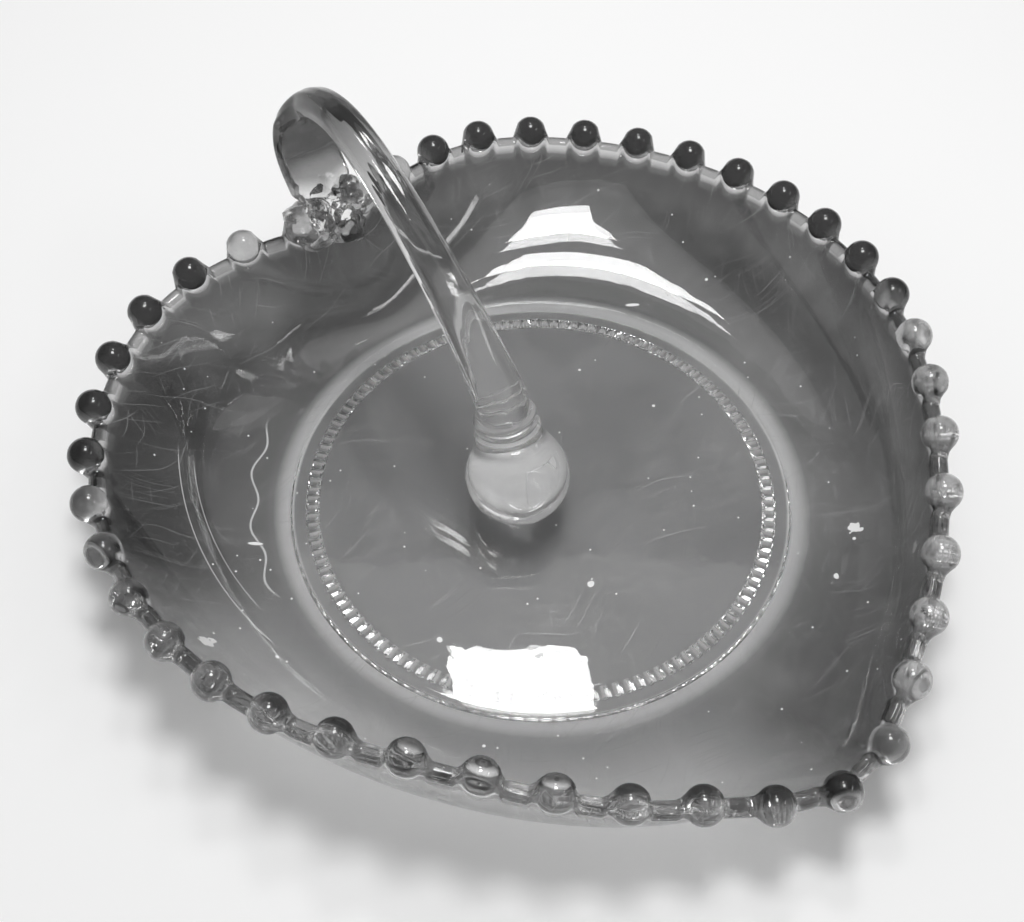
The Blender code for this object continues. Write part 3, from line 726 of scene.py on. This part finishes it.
class Shader:
    """A glass material and the nodes that give it its tone, dust, scratches and ripples."""

    def __init__(self, name):
        self.material = bpy.data.materials.new(name)
        self.material.use_nodes = True
        self.nodes = self.material.node_tree.nodes
        self.links = self.material.node_tree.links
        self.surface = self.nodes["Principled BSDF"]
        self.surface.inputs["IOR"].default_value = GLASS_IOR
        self.place = self.nodes.new("ShaderNodeTexCoord").outputs["Object"]

    def fill(self, socket, value):
        """Set a socket, or link it to another."""
        if isinstance(value, bpy.types.NodeSocket):
            self.links.new(value, socket)
        else:
            socket.default_value = value

    def math(self, operation, *values):
        """A sum, product or other calculation."""
        item = self.nodes.new("ShaderNodeMath")
        item.operation = operation
        for socket, value in zip(item.inputs, values):
            self.fill(socket, value)
        return item.outputs[0]

    def step(self, value, low, high, to_low=0.0, to_high=1.0):
        """A value brought from one range to another."""
        item = self.nodes.new("ShaderNodeMapRange")
        item.interpolation_type = "SMOOTHSTEP"
        for socket, number in zip(item.inputs[:5], (value, low, high, to_low, to_high)):
            self.fill(socket, number)
        return item.outputs["Result"]

    def noise(self, scale, detail):
        """Noise with so many cells to the metre."""
        item = self.nodes.new("ShaderNodeTexNoise")
        item.inputs["Scale"].default_value = scale
        item.inputs["Detail"].default_value = detail
        self.fill(item.inputs["Vector"], self.place)
        return item.outputs["Fac"]

    def specks(self, scale, size, keep, stretch=1.0, turn=SPECK_TURN, place=None):
        """Specks in some of the cells of a pattern, round or drawn out in one direction."""
        mapping = self.nodes.new("ShaderNodeMapping")
        mapping.vector_type = "TEXTURE"
        mapping.inputs["Rotation"].default_value = (0.0, 0.0, math.radians(turn))
        mapping.inputs["Scale"].default_value = (1.0, 1.0 / stretch, 1.0)
        self.fill(mapping.inputs["Vector"], place or self.place)
        item = self.nodes.new("ShaderNodeTexVoronoi")
        item.inputs["Scale"].default_value = scale
        self.fill(item.inputs["Vector"], mapping.outputs["Vector"])
        apart = self.nodes.new("ShaderNodeSeparateColor")
        self.fill(apart.inputs["Color"], item.outputs["Color"])
        round_speck = self.step(item.outputs["Distance"], size, size * SPECK_CORE)
        kept = self.step(apart.outputs["Red"], 1.0 - keep, 1.0 + KEEP_EDGE - keep)
        return self.math("MULTIPLY", round_speck, kept)

    def share(self, name):
        """A value stored on the mesh."""
        item = self.nodes.new("ShaderNodeAttribute")
        item.attribute_name = name
        return item.outputs["Fac"]

    def scratches(self):
        """Fine scratches in several directions, a little bent, each tapering at its ends."""
        bend = self.nodes.new("ShaderNodeTexNoise")
        bend.inputs["Scale"].default_value = BEND_SCALE
        self.fill(bend.inputs["Vector"], self.place)
        small = self.nodes.new("ShaderNodeVectorMath")
        small.operation = "MULTIPLY_ADD"
        self.fill(small.inputs[0], bend.outputs["Color"])
        small.inputs[1].default_value = (SCRATCH_BEND, SCRATCH_BEND, 0.0)
        self.fill(small.inputs[2], self.place)
        lines = None
        for turn, scale, stretch, keep in SCRATCHES:
            line = self.specks(scale, SCRATCH_SIZE, keep, stretch, turn, small.outputs["Vector"])
            lines = line if lines is None else self.math("MAXIMUM", lines, line)
        return lines

    def flat_place(self):
        """The place in plan, from the foot's axis."""
        offset = self.nodes.new("ShaderNodeVectorMath")
        offset.operation = "SUBTRACT"
        self.fill(offset.inputs[0], self.place)
        offset.inputs[1].default_value = FOOT_AXIS
        flat = self.nodes.new("ShaderNodeVectorMath")
        flat.operation = "MULTIPLY"
        self.fill(flat.inputs[0], offset.outputs["Vector"])
        flat.inputs[1].default_value = (1.0, 1.0, 0.0)
        return flat.outputs["Vector"]

    def marks(self):
        """The wavy seam, the long scratches and the flakes."""
        flat = self.flat_place()
        apart = self.nodes.new("ShaderNodeSeparateXYZ")
        self.fill(apart.inputs[0], flat)
        length = self.nodes.new("ShaderNodeVectorMath")
        length.operation = "LENGTH"
        self.fill(length.inputs[0], flat)
        reach = length.outputs["Value"]
        angle = self.math("ARCTAN2", apart.outputs["X"], self.math("MULTIPLY", apart.outputs["Y"], -1.0))
        found = None
        for first, last, start, end, waves, sway, width in MARKS:
            first, last = math.radians(first), math.radians(last)
            slope = (end - start) / (last - first)
            middle = self.math("MULTIPLY_ADD", angle, slope, start - slope * first)
            wave = self.math("SINE", self.math("MULTIPLY", angle, waves))
            middle = self.math("MULTIPLY_ADD", wave, sway, middle)
            aside = self.math("ABSOLUTE", self.math("SUBTRACT", reach, middle))
            line = self.step(aside, width, MARK_CORE * width)
            ease = MARK_ENDS * (last - first)
            line = self.math("MULTIPLY", line, self.step(angle, first, first + ease))
            line = self.math("MULTIPLY", line, self.step(angle, last, last - ease))
            found = line if found is None else self.math("MAXIMUM", found, line)
        found = self.math("MULTIPLY", found, MARK_STRENGTH)
        uneven = self.noise(FLAKE_WAVES, 1.0)
        for degrees, out, radius in FLAKES:
            turn = math.radians(degrees)
            gap = self.nodes.new("ShaderNodeVectorMath")
            gap.operation = "DISTANCE"
            self.fill(gap.inputs[0], flat)
            gap.inputs[1].default_value = (out * math.sin(turn), -out * math.cos(turn), 0.0)
            edge = self.math("MULTIPLY_ADD", uneven, FLAKE_UNEVEN * radius, gap.outputs["Value"])
            flake = self.step(edge, FLAKE_EDGE[0] * radius, FLAKE_EDGE[1] * radius)
            found = self.math("MAXIMUM", found, flake)
        return found

    def near(self, point, inner, outer):
        """1 round a point, falling to 0."""
        item = self.nodes.new("ShaderNodeVectorMath")
        item.operation = "DISTANCE"
        self.fill(item.inputs[0], self.place)
        item.inputs[1].default_value = point
        return self.step(item.outputs["Value"], outer, inner)

    def ripple(self, depth, crinkle=None):
        """Soft unevenness left by the mould, and finer crinkles where the glass was pressed on."""
        fine = self.noise(FINE_RIPPLE, 1.0)
        waves = self.math("MULTIPLY_ADD", fine, FINE_SHARE, self.noise(BROAD_RIPPLE, 1.0))
        if crinkle:
            waves = self.math("MULTIPLY_ADD", self.noise(CRINKLE_SCALE, 2.0), crinkle, waves)
        bump = self.nodes.new("ShaderNodeBump")
        bump.inputs["Strength"].default_value = 1.0
        bump.inputs["Distance"].default_value = depth
        self.fill(bump.inputs["Height"], waves)
        self.fill(self.surface.inputs["Normal"], bump.outputs["Normal"])


def inside_material():
    """The dish's upper side: clear, with dust, flakes, fine scratches and smears."""
    shader = Shader("worn_glass")
    scratches = shader.math("MULTIPLY", shader.scratches(), SCRATCH_STRENGTH)
    marks = shader.math("MAXIMUM", scratches, shader.marks())
    for scale, size, keep, stretch in DUST:
        marks = shader.math("MAXIMUM", marks, shader.specks(scale, size, keep, stretch))
    smeared = shader.step(shader.noise(SMEAR_SCALE, SMEAR_DETAIL), *SMEAR_RANGE)
    smear = shader.math("MULTIPLY", smeared, SMEAR_STRENGTH)
    dull = shader.math("ADD", shader.math("MULTIPLY", marks, MARK_MILK), smear)
    sockets = shader.surface.inputs
    sockets["Base Color"].default_value = (INNER_TINT, INNER_TINT, INNER_TINT, 1.0)
    rough = shader.math("ADD", shader.math("MULTIPLY", marks, MARK_ROUGHNESS), smear)
    shader.fill(sockets["Roughness"], rough)
    shader.fill(sockets["Transmission Weight"], shader.math("SUBTRACT", 1.0, dull))
    sockets["Coat Weight"].default_value = COAT_WEIGHT
    sockets["Coat Roughness"].default_value = COAT_ROUGHNESS
    shader.ripple(INSIDE_RIPPLE)
    return shader.material


def outside_material():
    """The beads, the outside and the underside: painted shade as a dark cast over the clear glass, and
    painted light in its clear and milky places.
    """
    shader = Shader("painted_shade_glass")
    # Painted shade and painted light, stored on the mesh as its tint.
    tint = shader.share("tint")
    heading = math.radians(WINDOW_HEADING)
    # Painted light: the underside is clear round this spot, so that the ball looks bright.
    light_spot_x = BALL_SIDE + BALL_LIGHT_SPOT * math.cos(heading)
    light_spot_y = BALL_LIGHT_SPOT * math.sin(heading)
    place = FOOT_AXIS + (light_spot_x, light_spot_y, FOOT_HEIGHT)
    tint = shader.math("MAXIMUM", tint, shader.near(place, BALL_LIGHT_RADIUS / 2.0, BALL_LIGHT_RADIUS))
    shader.fill(shader.surface.inputs["Base Color"], tint)
    shader.surface.inputs["Roughness"].default_value = 0.0
    # Milky veil of painted light on the pale beads and the ribs of the foot.
    milky_light_share = shader.share("milky_light")
    streaks = shader.step(shader.noise(MILKY_LIGHT_SCALE, 2.0), *MILKY_LIGHT_RANGE)
    milky_light = shader.math("MULTIPLY", milky_light_share, streaks)
    shader.fill(shader.surface.inputs["Transmission Weight"], shader.math("SUBTRACT", 1.0, milky_light))
    shader.ripple(OUTSIDE_RIPPLE)
    return shader.material


def handle_material():
    """Glass with painted shade that clears from the root to the ball, and painted light on the ball."""
    shader = Shader("handle_glass")
    shader.fill(shader.surface.inputs["Base Color"], shader.share("tint"))
    shader.surface.inputs["Roughness"].default_value = 0.0
    clear = shader.math("SUBTRACT", 1.0, shader.share("milky_light"))
    shader.fill(shader.surface.inputs["Transmission Weight"], clear)
    shader.ripple(HANDLE_RIPPLE, shader.share("crinkle"))
    return shader.material


def make_floor():
    """A plain pale floor."""
    material = bpy.data.materials.new("pale_floor")
    material.use_nodes = True
    shader = material.node_tree.nodes["Principled BSDF"]
    shader.inputs["Base Color"].default_value = (GROUND_COLOUR, GROUND_COLOUR, GROUND_COLOUR, 1.0)
    shader.inputs["Roughness"].default_value = GROUND_ROUGHNESS
    quarters = ((-1.0, -1.0), (1.0, -1.0), (1.0, 1.0), (-1.0, 1.0))
    corners = [(x * GROUND_SIZE, y * GROUND_SIZE, -GROUND_DROP) for x, y in quarters]
    floor = new_object("floor", corners, [(0, 1, 2, 3)], material)


def area_light(name, place, tilt, heading, size, power):
    """A rectangular lamp that faces down, tilted, its length along a heading."""
    lamp = bpy.data.lights.new(name, "AREA")
    lamp.shape = "RECTANGLE"
    lamp.size, lamp.size_y = size
    lamp.energy = power
    item = bpy.data.objects.new(name, lamp)
    item.location = place
    item.rotation_euler = (tilt, 0.0, heading)
    bpy.context.scene.collection.objects.link(item)


def make_light():
    """Soft light from all round, a window overhead with the bright wall round it, and a lamp at the side."""
    world = bpy.data.worlds.new("studio")
    world.use_nodes = True
    background = world.node_tree.nodes["Background"]
    background.inputs["Color"].default_value = (1.0, 1.0, 1.0, 1.0)
    background.inputs["Strength"].default_value = WORLD_STRENGTH
    bpy.context.scene.world = world
    heading = math.radians(WINDOW_HEADING)
    panes = list(PANES)
    for number, (length, width) in enumerate(np.linspace(*GLOW_SIZES, GLOW_COUNT)):
        power = math.pi * GLOW_RADIANCE / GLOW_COUNT * length * width
        panes.append((f"glow_{number}", GLOW_MIDDLE, 0.0, (length, width), power))
    for name, along, aside, size, power in panes:
        x = along * math.cos(heading) + aside * math.sin(heading)
        y = along * math.sin(heading) - aside * math.cos(heading)
        area_light(name, (x, y, WINDOW_HEIGHT), 0.0, heading, size, power)
    turn = math.radians(SIDE_TURN)
    rise = math.radians(SIDE_RISE)
    level = SIDE_REACH * math.cos(rise)
    place = (level * math.cos(turn), level * math.sin(turn), SIDE_REACH * math.sin(rise))
    area_light("side", place, math.pi / 2.0 - rise, turn + math.pi / 2.0, SIDE_SIZE, SIDE_POWER)


def make_camera():
    """The photograph's view."""
    lens_pixels = 1521.84
    width = 1024.0
    height = 922.0
    seen_at_x = 534.52  # pixel at which the target is seen
    seen_at_y = 500.87
    azimuth = math.radians(231.0)
    elevation = math.radians(55.11)
    roll = math.radians(1.76)
    distance = 0.2777
    target_offset = (-0.0014, 0.0, 0.0013)
    target = Vector(FOOT_AXIS) + Vector(target_offset)
    plan = Vector((math.cos(azimuth), math.sin(azimuth), 0.0))
    back = plan * math.cos(elevation) + Vector((0.0, 0.0, math.sin(elevation)))
    right = Vector((0.0, 0.0, 1.0)).cross(back).normalized()
    up = back.cross(right)
    rolled_right = right * math.cos(roll) + up * math.sin(roll)
    rolled_up = up * math.cos(roll) - right * math.sin(roll)
    axes = Matrix((rolled_right, rolled_up, back)).transposed()
    seen_x = (seen_at_x - width / 2.0) / lens_pixels
    seen_y = (height / 2.0 - seen_at_y) / lens_pixels
    seen = Vector((seen_x, seen_y, -1.0))
    turn = seen.rotation_difference(Vector((0.0, 0.0, -1.0))).to_matrix()
    data = bpy.data.cameras.new("camera")
    data.sensor_fit = "HORIZONTAL"
    data.sensor_width = 36.0
    data.lens = lens_pixels / width * data.sensor_width
    data.clip_start = 0.01
    camera = bpy.data.objects.new("camera", data)
    bpy.context.scene.collection.objects.link(camera)
    camera.matrix_world = Matrix.Translation(target + back * distance) @ (axes @ turn).to_4x4()
    bpy.context.scene.camera = camera


make_camera()
make_floor()
make_light()

tray = make_tray(inside_material(), outside_material())
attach(tray, "root")
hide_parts("tray_body", *[f"rim_bead_{number:02d}" for number in range(1, BEAD_COUNT + 1)])

handle = make_handle(handle_material())
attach(handle, "root")
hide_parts("handle_root", "handle_rod", "handle_collar", "handle_ball")

bpy.context.scene.view_settings.view_transform = "Standard"
# Light runs a long way inside glass before it comes out.
bpy.context.scene.cycles.max_bounces = 24
bpy.context.scene.cycles.glossy_bounces = 16
bpy.context.scene.cycles.transmission_bounces = 20
